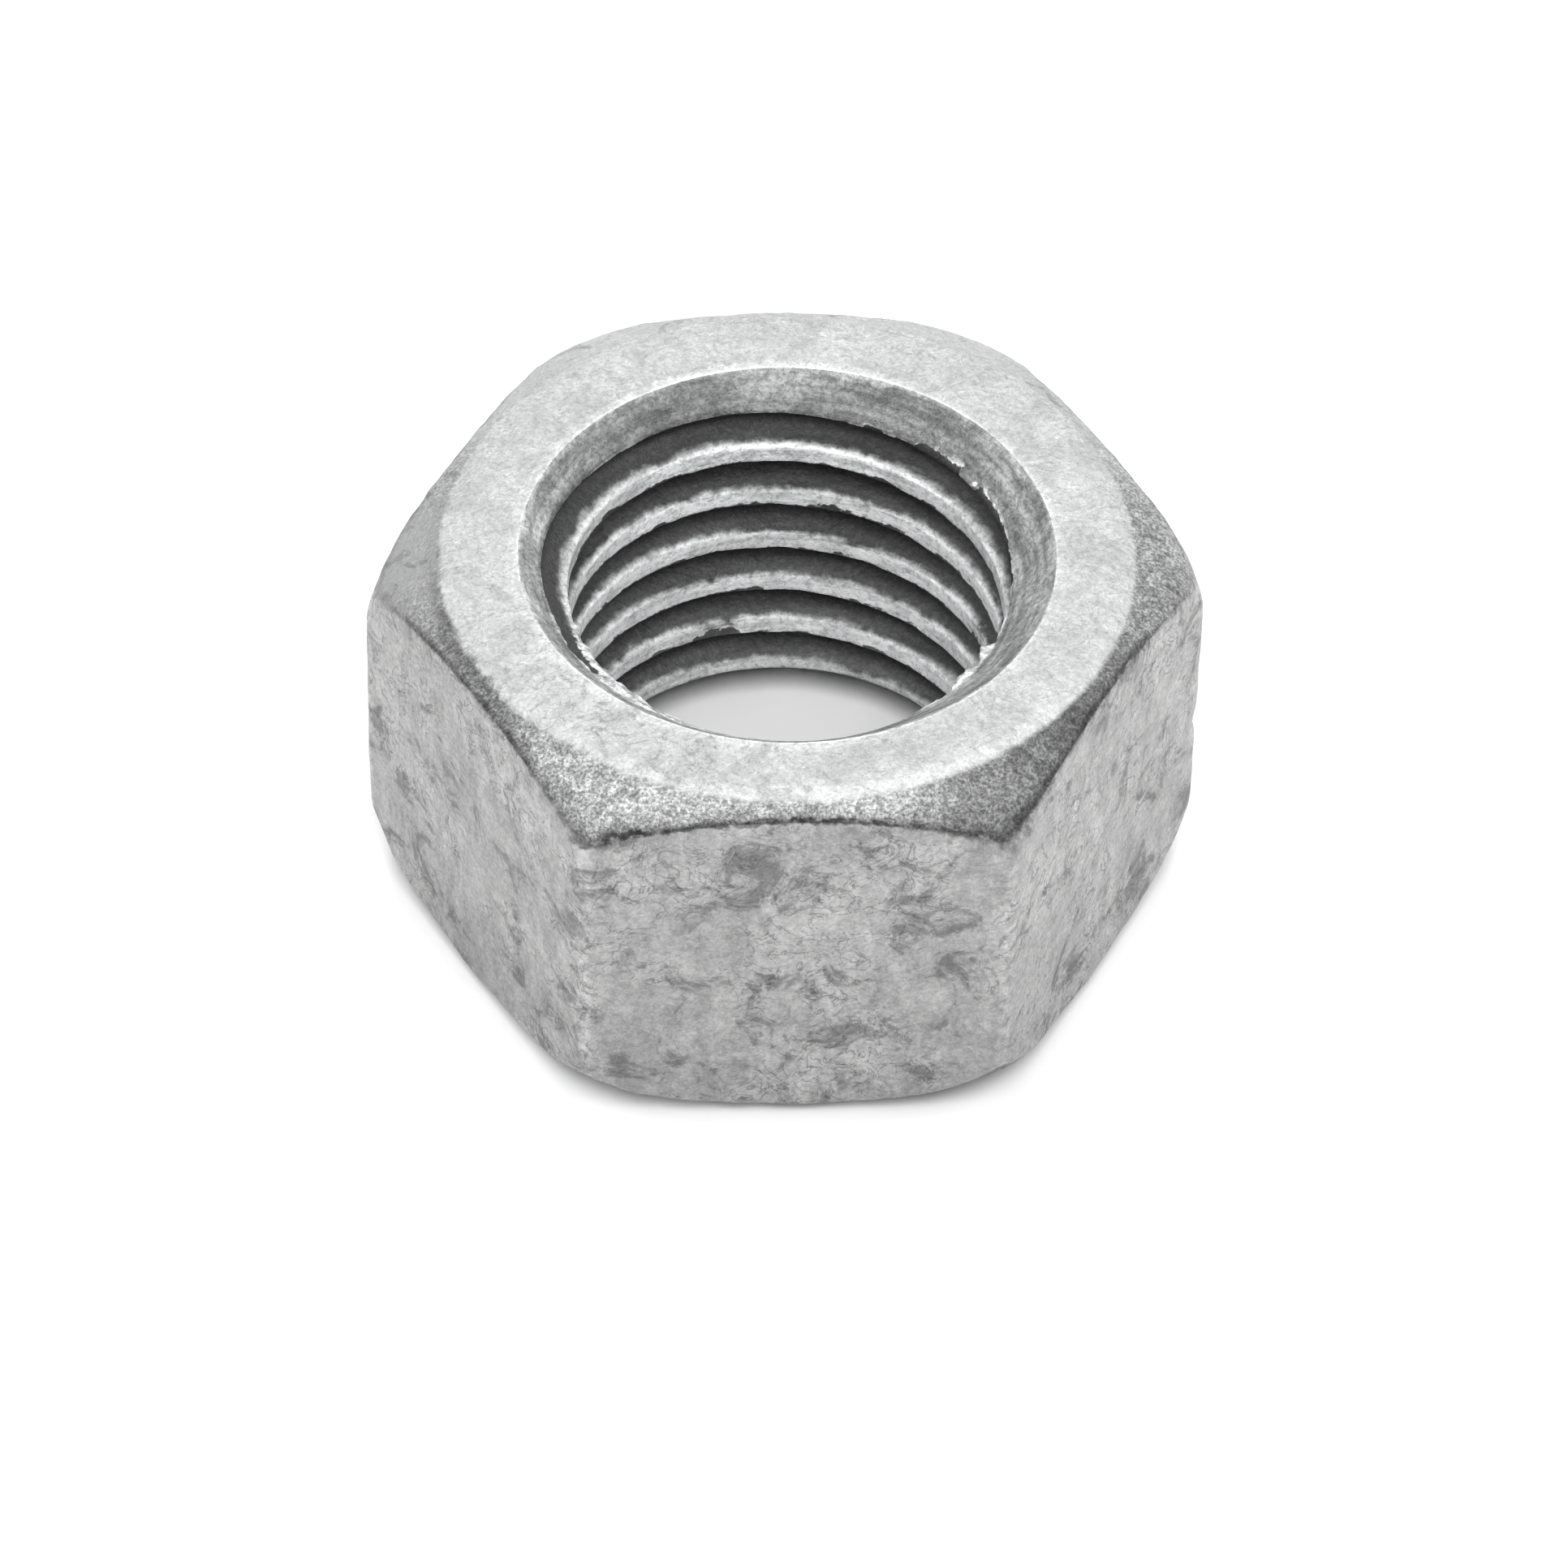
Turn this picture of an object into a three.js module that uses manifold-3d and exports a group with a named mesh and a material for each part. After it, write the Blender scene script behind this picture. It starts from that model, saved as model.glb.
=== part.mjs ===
import * as THREE from "three";
import { mergeVertices } from "three/addons/utils/BufferGeometryUtils.js";
import Module from "manifold-3d";

// A hex nut of the M20 coarse-thread size, chamfered on both faces, with a countersunk mouth at each
// end of a right-hand thread. The origin is the centre of the lower bearing face, +Z runs up the
// thread axis, +X points at a corner, and two of the flats face +Y and -Y.

// Driving dimensions, in millimetres unless the name says otherwise.
const ACROSS_FLATS = 30;
const HEIGHT = 17.6;
const FLAT_COUNT = 6;
const CORNER_RADIUS = 0.8; // rounding of the upright edges
const CORNER_STEPS = 3; // facets in each rounded upright edge
const BEARING_FACE_DIAMETER = 28.1;
const CHAMFER_SLOPE = 0.5; // drop per millimetre of radius, across the flats
const CORNER_EASE_DIAMETER = 32.7; // outside this circle the corners fall away more steeply
const CORNER_EASE_SLOPE = 2.1;
const THREAD_PITCH = 2.5;
const THREAD_MINOR_DIAMETER = 17.98; // tapped oversize, as a galvanised nut is
const THREAD_MAJOR_DIAMETER = 20.3;
const THREAD_FLANK_ANGLE = Math.PI / 6; // between a flank and the plane square to the axis
const THREAD_ROOT_FLAT = THREAD_PITCH / 8;
const THREAD_RIDGE_AT_BACK = 14.1; // height of the topmost full ridge's lower edge, on the +Y side
const COUNTERSINK_DIAMETER = 21.9;
const COUNTERSINK_HALF_ANGLE = Math.PI / 4;
const RING_STEPS = 96; // facets round the chamfers and the countersinks
const THREAD_STEPS = 64; // facets in one turn of the thread
const OVERRUN = 1; // how far the cutting bodies run past the faces they cut

const wasm = await Module();
wasm.setup();

// A closed three.js geometry as a solid that can be added to and cut.
function solidFrom(geometry) {
  const bare = geometry.clone();
  bare.deleteAttribute("normal");
  bare.deleteAttribute("uv");
  const welded = mergeVertices(bare, 1e-4);
  return new wasm.Manifold(
    new wasm.Mesh({
      numProp: 3,
      vertProperties: welded.attributes.position.array,
      triVerts: new Uint32Array(welded.index.array),
    }),
  );
}

// A solid as a three.js geometry with a flat normal on each facet.
function geometryFrom(solid) {
  const mesh = solid.getMesh();
  const indexed = new THREE.BufferGeometry();
  indexed.setAttribute("position", new THREE.BufferAttribute(new Float32Array(mesh.vertProperties), 3));
  indexed.setIndex(new THREE.BufferAttribute(new Uint32Array(mesh.triVerts), 1));
  const faceted = indexed.toNonIndexed();
  faceted.computeVertexNormals();
  return faceted;
}

// A profile of [radius, height] pairs turned about the Z axis.
function turned(profile, steps) {
  const points = profile.map(([radius, height]) => new THREE.Vector2(radius, height));
  const geometry = new THREE.LatheGeometry(points, steps);
  geometry.rotateX(Math.PI / 2);
  return geometry;
}

// The hexagonal bar, with its upright edges rounded.
function hexBar() {
  const arcCentre = (ACROSS_FLATS / 2 - CORNER_RADIUS) / Math.cos(Math.PI / FLAT_COUNT);
  const halfTurn = Math.PI / FLAT_COUNT;
  const outline = [];
  for (let corner = 0; corner < FLAT_COUNT; corner += 1) {
    const cornerAngle = (corner * 2 * Math.PI) / FLAT_COUNT;
    const centreX = arcCentre * Math.cos(cornerAngle);
    const centreY = arcCentre * Math.sin(cornerAngle);
    for (let step = 0; step <= CORNER_STEPS; step += 1) {
      const angle = cornerAngle + halfTurn * ((2 * step) / CORNER_STEPS - 1);
      const x = centreX + CORNER_RADIUS * Math.cos(angle);
      const y = centreY + CORNER_RADIUS * Math.sin(angle);
      outline.push(new THREE.Vector2(x, y));
    }
  }
  return new THREE.ExtrudeGeometry(new THREE.Shape(outline), { depth: HEIGHT, bevelEnabled: false });
}

// The turned envelope that chamfers both faces and eases the corners.
function chamferEnvelope() {
  const faceRadius = BEARING_FACE_DIAMETER / 2;
  const easeRadius = CORNER_EASE_DIAMETER / 2;
  const outerRadius = ACROSS_FLATS / 2 / Math.cos(Math.PI / FLAT_COUNT) + OVERRUN;
  const easeDrop = (easeRadius - faceRadius) * CHAMFER_SLOPE;
  const outerDrop = easeDrop + (outerRadius - easeRadius) * CORNER_EASE_SLOPE;
  return turned(
    [
      [0, 0],
      [faceRadius, 0],
      [easeRadius, easeDrop],
      [outerRadius, outerDrop],
      [outerRadius, HEIGHT - outerDrop],
      [easeRadius, HEIGHT - easeDrop],
      [faceRadius, HEIGHT],
      [0, HEIGHT],
    ],
    RING_STEPS,
  );
}

// The space one countersink cuts at the lower face: widest below the face, and a point on the axis.
function countersinkAtFoot() {
  const faceRadius = COUNTERSINK_DIAMETER / 2;
  const slope = Math.tan(COUNTERSINK_HALF_ANGLE);
  return turned(
    [
      [0, -OVERRUN],
      [faceRadius + OVERRUN * slope, -OVERRUN],
      [0, faceRadius / slope],
    ],
    RING_STEPS,
  );
}

// The same space at the upper face, turned over about the X axis.
function countersinkAtHead() {
  const geometry = countersinkAtFoot();
  geometry.rotateX(Math.PI);
  geometry.translate(0, 0, HEIGHT);
  return geometry;
}

// The four corners of one thread groove, as radius and height above the ridge's lower edge: the ridge's
// flat, the upper flank, the root's flat, and the lower flank that ends where the next turn starts.
function threadProfile() {
  const minorRadius = THREAD_MINOR_DIAMETER / 2;
  const majorRadius = THREAD_MAJOR_DIAMETER / 2;
  const flankRise = (majorRadius - minorRadius) * Math.tan(THREAD_FLANK_ANGLE);
  const ridgeFlat = THREAD_PITCH - THREAD_ROOT_FLAT - 2 * flankRise;
  return [
    [minorRadius, 0],
    [minorRadius, ridgeFlat],
    [majorRadius, ridgeFlat + flankRise],
    [majorRadius, ridgeFlat + flankRise + THREAD_ROOT_FLAT],
  ];
}

// The threaded space through the nut: the profile swept along a right-hand helix, each turn joined to
// the one above, with a fan of triangles closing each end outside the nut.
function threadedSpace() {
  const profile = threadProfile();
  const turnsBelow = Math.ceil((THREAD_RIDGE_AT_BACK + OVERRUN) / THREAD_PITCH) + 1;
  const turnsAbove = Math.ceil((HEIGHT - THREAD_RIDGE_AT_BACK + OVERRUN) / THREAD_PITCH) + 1;
  const turns = turnsBelow + turnsAbove;
  const stations = turns * THREAD_STEPS;
  const startHeight = THREAD_RIDGE_AT_BACK - turnsBelow * THREAD_PITCH;
  const positions = [];
  for (let station = 0; station <= stations; station += 1) {
    const angle = Math.PI / 2 + (station * 2 * Math.PI) / THREAD_STEPS;
    const rise = startHeight + (station * THREAD_PITCH) / THREAD_STEPS;
    for (const [radius, height] of profile) {
      positions.push(radius * Math.cos(angle), radius * Math.sin(angle), rise + height);
    }
  }
  const at = (station, point) => station * profile.length + point;
  const triangles = [];
  const addQuad = (a, b, c, d) => triangles.push(a, b, c, a, c, d);
  const last = profile.length - 1;
  for (let station = 0; station < stations; station += 1) {
    for (let point = 0; point < last; point += 1) {
      addQuad(at(station, point), at(station + 1, point), at(station + 1, point + 1), at(station, point + 1));
    }
    const turnAbove = station + THREAD_STEPS;
    if (turnAbove < stations) {
      addQuad(at(station, last), at(station + 1, last), at(turnAbove + 1, 0), at(turnAbove, 0));
    }
  }
  addEndFans(positions, triangles, at, stations, last, startHeight, turns);
  const geometry = new THREE.BufferGeometry();
  geometry.setAttribute("position", new THREE.BufferAttribute(new Float32Array(positions), 3));
  geometry.setIndex(triangles);
  return geometry;
}

// Each open end is a loop of one turn along the helix and the step back down the profile.
function addEndFans(positions, triangles, at, stations, last, startHeight, turns) {
  const lowerLoop = [];
  for (let station = 0; station <= THREAD_STEPS; station += 1) lowerLoop.push(at(station, 0));
  for (let point = last; point > 0; point -= 1) lowerLoop.push(at(0, point));
  const upperLoop = [];
  for (let station = stations - THREAD_STEPS; station <= stations; station += 1) {
    upperLoop.push(at(station, last));
  }
  for (let point = last - 1; point >= 0; point -= 1) upperLoop.push(at(stations, point));
  const lowerCentre = positions.length / 3;
  positions.push(0, 0, startHeight - THREAD_PITCH);
  const upperCentre = lowerCentre + 1;
  positions.push(0, 0, startHeight + (turns + 2) * THREAD_PITCH);
  lowerLoop.forEach((vertex, i) => {
    triangles.push(lowerCentre, lowerLoop[(i + 1) % lowerLoop.length], vertex);
  });
  upperLoop.forEach((vertex, i) => {
    triangles.push(upperCentre, vertex, upperLoop[(i + 1) % upperLoop.length]);
  });
}

function nutBody() {
  return solidFrom(hexBar())
    .intersect(solidFrom(chamferEnvelope()))
    .subtract(solidFrom(threadedSpace()))
    .subtract(solidFrom(countersinkAtFoot()))
    .subtract(solidFrom(countersinkAtHead()));
}

// Hot-dip galvanised steel: a light, slightly warm grey, matt for a metal.
function zincMaterial() {
  return new THREE.MeshStandardMaterial({ color: 0xb9b9b6, roughness: 0.55, metalness: 0.85 });
}

const hexNut = new THREE.Mesh(geometryFrom(nutBody()), zincMaterial());
hexNut.name = "hex_nut";

const part = new THREE.Group();
part.name = "hex_nut_m20";
part.add(hexNut);

export default part;
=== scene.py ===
"""The looks of a galvanised hex nut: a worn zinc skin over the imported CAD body, with a bare steel thread.

Lengths inside the shape code are millimetres, and the finished mesh is scaled to metres. Directions round the
axis are in degrees: 0 is the nut's right-hand corner, 90 its back, 180 its left-hand corner, 270 its front.
"""

import math

import bpy
import numpy as np
from mathutils import Matrix, Vector


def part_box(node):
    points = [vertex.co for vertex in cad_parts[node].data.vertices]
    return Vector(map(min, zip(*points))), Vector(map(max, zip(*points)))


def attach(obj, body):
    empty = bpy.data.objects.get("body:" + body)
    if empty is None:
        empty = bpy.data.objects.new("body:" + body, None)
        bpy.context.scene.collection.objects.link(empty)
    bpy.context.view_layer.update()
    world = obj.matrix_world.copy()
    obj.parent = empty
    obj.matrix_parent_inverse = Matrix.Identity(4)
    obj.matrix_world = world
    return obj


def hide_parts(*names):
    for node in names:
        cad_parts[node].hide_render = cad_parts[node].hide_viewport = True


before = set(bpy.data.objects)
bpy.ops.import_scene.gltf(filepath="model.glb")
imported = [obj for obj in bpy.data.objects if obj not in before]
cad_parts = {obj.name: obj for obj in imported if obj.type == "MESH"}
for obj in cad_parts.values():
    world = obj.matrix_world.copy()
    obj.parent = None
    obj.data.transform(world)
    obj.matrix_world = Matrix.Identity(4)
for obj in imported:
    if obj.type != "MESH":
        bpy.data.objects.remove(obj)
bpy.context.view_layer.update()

MM = 0.001
LOW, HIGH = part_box("hex_nut")
HALF_FLATS = (HIGH.y - LOW.y) / 2 / MM
HEIGHT = (HIGH.z - LOW.z) / MM

# The same driving dimensions as the CAD body, in millimetres.
BEARING_RADIUS = 14.05
CHAMFER_SLOPE = 0.5
EASE_RADIUS = 16.35
EASE_SLOPE = 2.1
PITCH = 2.5
MINOR_RADIUS = 8.99
MAJOR_RADIUS = 10.15
RIDGE_AT_BACK = 14.1
SINK_RADIUS = 10.95
FLANK_RISE = (MAJOR_RADIUS - MINOR_RADIUS) * math.tan(math.pi / 6)
ROOT_FLAT = PITCH / 8
RIDGE_FLAT = PITCH - ROOT_FLAT - 2 * FLANK_RISE

# How softly the surfaces run into each other, in millimetres.
CORNER_BLEND = 0.55
EASE_BLEND = 0.5
FACE_BLEND = 0.3
SIDE_BLEND = 0.25
RIDGE_ROUND = 0.035  # how far a ridge's edge is rounded back
RIDGE_STEP = 0.05  # from a thread edge to the next vertex

# How finely the mesh is divided.
COLUMNS = 576  # vertices round the axis
FACE_ROWS = 16
CHAMFER_ROWS = 12
SIDE_ROWS = 56
SIDE_CROWDING = 0.06  # draws the rows of the flats towards their ends
RIDGE_SHARES = (0.22, 0.4, 0.6, 0.78)
FLANK_SHARES = (0.2, 0.45, 0.7, 0.93)

FAR = 5.0  # a distance in millimetres that reads as "not near this edge"
ON_FACE = 1e-6  # a vertex this close to a face lies on it

# How rough the surfaces and the edges of the zinc are, in millimetres.
BROAD_LUMPS = 0.035
SMALL_LUMPS = 0.020
FINE_LUMPS = 0.010
SEAM_LUMPS = 0.04
SEAM_GROOVE = 0.05
EDGE_LUMPS = 0.018
EDGE_NICKS = 0.35
RIM_SWELL = 0.03
RIM_LUMPS = 0.035
TOOL_WAVES = 0.008
TORN_RIDGES = 0.035
MOUTH_CHIPS = 0.3
CHIPPED_BACK = 0.75
LIP_ON_LEFT = 0.13
LIP_ON_RIGHT = 0.42
BLUNT_TIP = 0.3  # how far the chamfer's colour stops short of each corner's tip
COAT_AND_SHADOW_EDGE_ABOVE = 0.42  # how wide the zinc's edge is on a ridge's upper side, where it also paints a soft shadow edge, and below it
COAT_EDGE_BELOW = 0.09

# Where round the axis something differs: a direction and how far it spreads, in degrees.
SHARP_CORNER_AT = (180, 16)
CREASE_AT = (196, 17)
WORN_EDGE_AT = (215, 40)
FADING_AT = (262, 42)
SPECKS_AT = (240, 34)
# A painted highlight along the front rim of the bearing face.
FRONT_RIM_HIGHLIGHT_AT = (282, 46)
SMOOTH_AT = (176, 15)
# Painted highlights round the countersink's rim, strongest at the back and the left.
BACK_RIM_HIGHLIGHT_AT = (92, 48)
LEFT_RIM_HIGHLIGHT_AT = (232, 26)
DUST_AT = (178, 36)
CHIPPED_ZINC_AT = (40, 28)
CHIPPED_STEEL_AT = (48, 30)
LEFT_LIP_AT = (218, 34)
RIGHT_LIP_AT = (331, 19)
TONE_WOBBLE = 9  # how far the chamfer's and the seam's tables wander, in degrees

# Grey levels of the base colour, from 0 for black to 1 for white.
FACE_GREY = (0.445, 0.585)
SIDE_GREY = (0.355, 0.455)
CHAMFER_GREY = 0.335
SINK_GREY = (0.20, 0.37)
TORN_GREY = (0.45, 0.95)
# The grooves' grey is partly bare steel and partly painted shade deep in the thread.
GROOVE_STEEL_AND_SHADE_GREY = (0.036, 0.062)

# The rest of the surface: how metallic and how rough it is, from 0 to 1, and its finest relief.
METAL_OUTSIDE = 0.55
METAL_IN_BORE = 0.15
ROUGHNESS = (0.42, 0.58)
BUMP_DEPTH = 0.11  # millimetres

# How light the chamfer is at each direction: fresh zinc above 1 and steel worn bare below it, together with
# painted light and shade by which way the chamfer faces.
CHAMFER_WEAR_LIGHT_AND_SHADE = (
    (0, 1.1),
    (30, 1.5),
    (60, 1.65),
    (120, 1.65),
    (150, 1.42),
    (170, 1.2),
    (188, 1.1),
    (200, 0.82),
    (210, 0.76),
    (222, 1.22),
    (240, 1.34),
    (255, 1.46),
    (281, 1.46),
    (296, 0.75),
    (315, 0.45),
    (330, 0.65),
    (345, 0.92),
    (360, 1.1),
)
# How dark the beaten seam under the upper chamfer is, partly its own colour and partly painted shadow in its
# crevice.
SEAM_DARKNESS_AND_SHADOW = (
    (0, 0.15),
    (90, 0.2),
    (170, 0.2),
    (195, 0.5),
    (225, 0.55),
    (245, 0.75),
    (275, 0.75),
    (290, 0.55),
    (345, 0.5),
    (360, 0.15),
)
# How light the countersinks are in each direction: painted light and shade by which way each part faces, with
# two darker dips.
SINK_LIGHT_AND_SHADE = (
    (0, 1.16),
    (35, 1.02),
    (55, 0.64),
    (90, 1.08),
    (120, 0.56),
    (150, 1.08),
    (180, 1.28),
    (215, 1.2),
    (270, 1.0),
    (325, 1.1),
    (360, 1.16),
)

FLOOR_SIZE = 3.0  # metres from the nut to each side of the floor
FLOOR_GAP = 0.00002  # metres between the floor and the nut
FLOOR_GREY = (0.90, 0.92)

LIGHT_DISTANCE = 0.6  # metres
LIGHT_SIZE = 0.35  # metres across
WORLD_STRENGTH = 0.36

CAMERA_DISTANCE = 346.5  # millimetres
CAMERA_ELEVATION = 45.08  # degrees
CAMERA_AZIMUTH = -2.66
CAMERA_ROLL = 1.28
AIM_BELOW_CENTRE = 3.354  # millimetres
LENS = 191.4  # millimetres, for a sensor as wide as this
SENSOR = 36.0


# ---------------------------------------------------------------- noise for the shape


def lattice_value(ix, iy, iz, seed):
    """A repeatable number from -1 to 1 for each whole-number point."""
    mixed = ix * np.int64(374761393) + iy * np.int64(668265263)
    mixed = mixed + iz * np.int64(2147483647) + np.int64(seed) * np.int64(1274126177)
    mixed = (mixed ^ (mixed >> 13)) * np.int64(1274126177)
    mixed = mixed ^ (mixed >> 16)
    return (mixed & 0xFFFFFF).astype(float) / 0x7FFFFF - 1.0


def noise(points, size, seed):
    """Smooth noise from -1 to 1 at points (n, 3), with lumps about size across."""
    scaled = points / size
    base = np.floor(scaled).astype(np.int64)
    part = scaled - base
    part = part * part * (3 - 2 * part)
    total = np.zeros(len(points))
    for dx in (0, 1):
        wx = part[:, 0] if dx else 1 - part[:, 0]
        for dy in (0, 1):
            wy = part[:, 1] if dy else 1 - part[:, 1]
            for dz in (0, 1):
                wz = part[:, 2] if dz else 1 - part[:, 2]
                corner = lattice_value(base[:, 0] + dx, base[:, 1] + dy, base[:, 2] + dz, seed)
                total += wx * wy * wz * corner
    return total


def rough_noise(points, size, seed, octaves=3):
    """Noise with finer and finer lumps added to it, each half as large as the last."""
    total = np.zeros(len(points))
    for octave in range(octaves):
        total += noise(points, size / 2**octave, seed + 17 * octave) / 2**octave
    return total


def bump_at(value, centre, width):
    """1 where value is at centre, falling to 0 a few widths away."""
    return np.exp(-(((value - centre) / width) ** 2))


def angle_gap(angle, degrees):
    """How far each angle is from a direction, in degrees."""
    return np.abs((np.degrees(angle) - degrees + 180) % 360 - 180)


def facing(angle, degrees, width):
    """1 in the given direction, falling to 0 a few widths round from it, all in degrees."""
    return bump_at(angle_gap(angle, degrees), 0, width)


def sideways(angle, power):
    """1 at the nut's left and right, 0 at its front and back."""
    return np.abs(np.cos(angle)) ** power


def by_angle(angle, table):
    """The table's value in each direction, on a straight line between its entries."""
    degrees, values = zip(*table)
    return np.interp(np.degrees(angle) % 360, degrees, values)


# ---------------------------------------------------------------- the outside


def soft_max(a, b, width):
    """The larger of a and b, blended where they are within width of each other."""
    near = np.maximum(width - np.abs(a - b), 0) / width
    return np.maximum(a, b) + near * near * width / 4


def hex_distance(points):
    """Distance outside the six flats, with the upright edges rounded, least of all at the -X corner."""
    angle = np.arctan2(points[:, 1], points[:, 0])
    rounding = CORNER_BLEND * (1 - 0.5 * facing(angle, *SHARP_CORNER_AT))
    reach = None
    for turn in range(6):
        outward = math.radians(30 + 60 * turn)
        side = points[:, 0] * math.cos(outward) + points[:, 1] * math.sin(outward) - HALF_FLATS
        reach = side if reach is None else soft_max(reach, side, rounding)
    return reach


def chamfer_drop(radius):
    """How far the chamfer, with its steeper corners, lies below the face at a radius."""
    main = np.maximum(radius - BEARING_RADIUS, 0) * CHAMFER_SLOPE
    return main + np.maximum(radius - EASE_RADIUS, 0) * (EASE_SLOPE - CHAMFER_SLOPE)


def cone_distance(points, end):
    """Distance outside a chamfer and its steeper corners; end is the distance past the bearing face."""
    radius = np.hypot(points[:, 0], points[:, 1])
    ease_height = (EASE_RADIUS - BEARING_RADIUS) * CHAMFER_SLOPE
    gentle = (end + (radius - BEARING_RADIUS) * CHAMFER_SLOPE) / math.hypot(1, CHAMFER_SLOPE)
    steep = (end + ease_height + (radius - EASE_RADIUS) * EASE_SLOPE) / math.hypot(1, EASE_SLOPE)
    return soft_max(gentle, steep, EASE_BLEND)


def outside_distance(points):
    """About how far each point stands outside the chamfered, softened body."""
    body = hex_distance(points)
    for end in (points[:, 2] - HEIGHT, -points[:, 2]):
        face = soft_max(end, cone_distance(points, end), FACE_BLEND)
        body = soft_max(body, face, SIDE_BLEND)
    return body


def settle(points, rounds=5, step=0.01):
    """Moves points onto the softened body along its slope, which is measured over a small step."""
    for _ in range(rounds):
        value = outside_distance(points)
        moved = [outside_distance(points + step * axis) for axis in np.eye(3)]
        slope = np.stack([(there - value) / step for there in moved], axis=1)
        points = points - slope * (value / np.maximum((slope**2).sum(1), 0.25))[:, None]
    return points


def hex_radius(angle):
    """Radius of the sharp hexagon at each angle; its corners are at 0, 60, 120 degrees and so on."""
    from_flat = (angle % (math.pi / 3)) - math.pi / 6
    return HALF_FLATS / np.cos(from_flat)


# ---------------------------------------------------------------- the mesh


def ridge_profile():
    """Height above a ridge's lower edge, radius, and distance past the ridge's edge, for one pitch."""
    depth = MAJOR_RADIUS - MINOR_RADIUS
    root_start = RIDGE_FLAT + FLANK_RISE
    root_end = root_start + ROOT_FLAT
    edge_radius = MINOR_RADIUS + RIDGE_ROUND
    rows = [(0.0, edge_radius, 0.0), (RIDGE_STEP, MINOR_RADIUS, -RIDGE_STEP)]
    for share in RIDGE_SHARES:
        to_edge = min(share, 1 - share) * RIDGE_FLAT
        rows.append((share * RIDGE_FLAT, MINOR_RADIUS, -to_edge))
    rows.append((RIDGE_FLAT - RIDGE_STEP, MINOR_RADIUS, -RIDGE_STEP))
    rows.append((RIDGE_FLAT, edge_radius, 0.0))
    for share in FLANK_SHARES:
        rows.append((RIDGE_FLAT + share * FLANK_RISE, MINOR_RADIUS + share * depth, share * depth))
    rows.append((root_start + RIDGE_STEP, MAJOR_RADIUS, depth))
    rows.append((root_end - RIDGE_STEP, MAJOR_RADIUS, depth))
    for share in reversed(FLANK_SHARES):
        rows.append((root_end + (1 - share) * FLANK_RISE, MINOR_RADIUS + share * depth, share * depth))
    return rows


def bore_rows(angles):
    """Rows that climb with the thread: heights, radius, past the ridge's edge, and on its upper side."""
    profile = ridge_profile()
    lowest = -math.ceil(RIDGE_AT_BACK / PITCH) - 2
    highest = math.ceil((HEIGHT - RIDGE_AT_BACK) / PITCH) + 2
    climb = RIDGE_AT_BACK + PITCH * (angles - math.pi / 2) / (2 * math.pi)
    rows = []
    for turn in range(lowest, highest + 1):
        for height, radius, past in profile:
            upper = float(RIDGE_FLAT / 2 < height < RIDGE_FLAT + FLANK_RISE + ROOT_FLAT)
            rows.append((climb + turn * PITCH + height, radius, past, upper))
    return rows, len(profile)


def sink_radius(height):
    """Radius of the nearer countersink's cone at a height, widest at the two mouths."""
    to_mouth = np.minimum(height, HEIGHT - height)
    return SINK_RADIUS - to_mouth


def face_rows(hexed):
    """Radius and drop below the face for each row from the countersink's rim out to the flats."""
    rows = []
    for i in range(1, FACE_ROWS + 1):
        rows.append((SINK_RADIUS + (BEARING_RADIUS - SINK_RADIUS) * i / FACE_ROWS, 0.0))
    for i in range(1, CHAMFER_ROWS + 1):
        radius = BEARING_RADIUS + (hexed - BEARING_RADIUS) * i / CHAMFER_ROWS
        rows.append((radius, chamfer_drop(radius)))
    return rows


class Rings:
    """Rings of vertices round the axis, one row after another, and the marks of each vertex."""

    def __init__(self, angles):
        self.angles = angles
        self.points = []
        self.marks = []

    def add(self, radius, height, **marks):
        radius = radius + np.zeros(COLUMNS)
        height = height + np.zeros(COLUMNS)
        x, y = radius * np.cos(self.angles), radius * np.sin(self.angles)
        self.points.append(np.stack([x, y, height], 1))
        row = {"groove": -FAR, "sink": -FAR, "inside": 0.0, "upper": 0.0, "turns_down": 0.0}
        row.update(marks)
        self.marks.append({name: value + np.zeros(COLUMNS) for name, value in row.items()})


def add_bore(rings):
    """The thread and the countersinks, from below the lower face to above the upper one."""
    rows, per_turn = bore_rows(rings.angles)
    for height, radius, past, upper in rows:
        inside = np.clip(height, 0, HEIGHT)
        cone = sink_radius(inside)
        wall = np.maximum(radius, cone)
        sink = np.clip(cone - radius, -FAR, FAR)
        turns_down = (HEIGHT - inside) / PITCH
        rings.add(wall, inside, groove=past, sink=sink, inside=1.0, upper=upper, turns_down=turns_down)
    return len(rows), per_turn


def add_outside(rings):
    """The upper face and chamfer, the flats, and the lower chamfer and face."""
    hexed = hex_radius(rings.angles)
    edge_drop = chamfer_drop(hexed)
    rows = face_rows(hexed)
    for radius, drop in rows:
        rings.add(radius, HEIGHT - drop)
    for i in range(1, SIDE_ROWS):
        share = i / SIDE_ROWS
        eased = share - SIDE_CROWDING * math.sin(2 * math.pi * share) / math.pi
        rings.add(hexed, HEIGHT - edge_drop - (HEIGHT - 2 * edge_drop) * eased)
    for radius, drop in reversed(rows):
        rings.add(radius, drop)


def fold_at_faces(points, index, bore_count):
    """Thread rows that have run past a face fold into one ring of vertices on that face."""
    heights = points[:bore_count, :, 2]
    upper_ring, lower_ring = index[bore_count - 1], index[0]
    points[bore_count - 1, :, 2] = HEIGHT
    points[0, :, 2] = 0
    folded_up = heights >= HEIGHT - ON_FACE
    folded_down = heights <= ON_FACE
    index[:bore_count][folded_up] = np.broadcast_to(upper_ring, heights.shape)[folded_up]
    index[:bore_count][folded_down] = np.broadcast_to(lower_ring, heights.shape)[folded_down]


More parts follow.
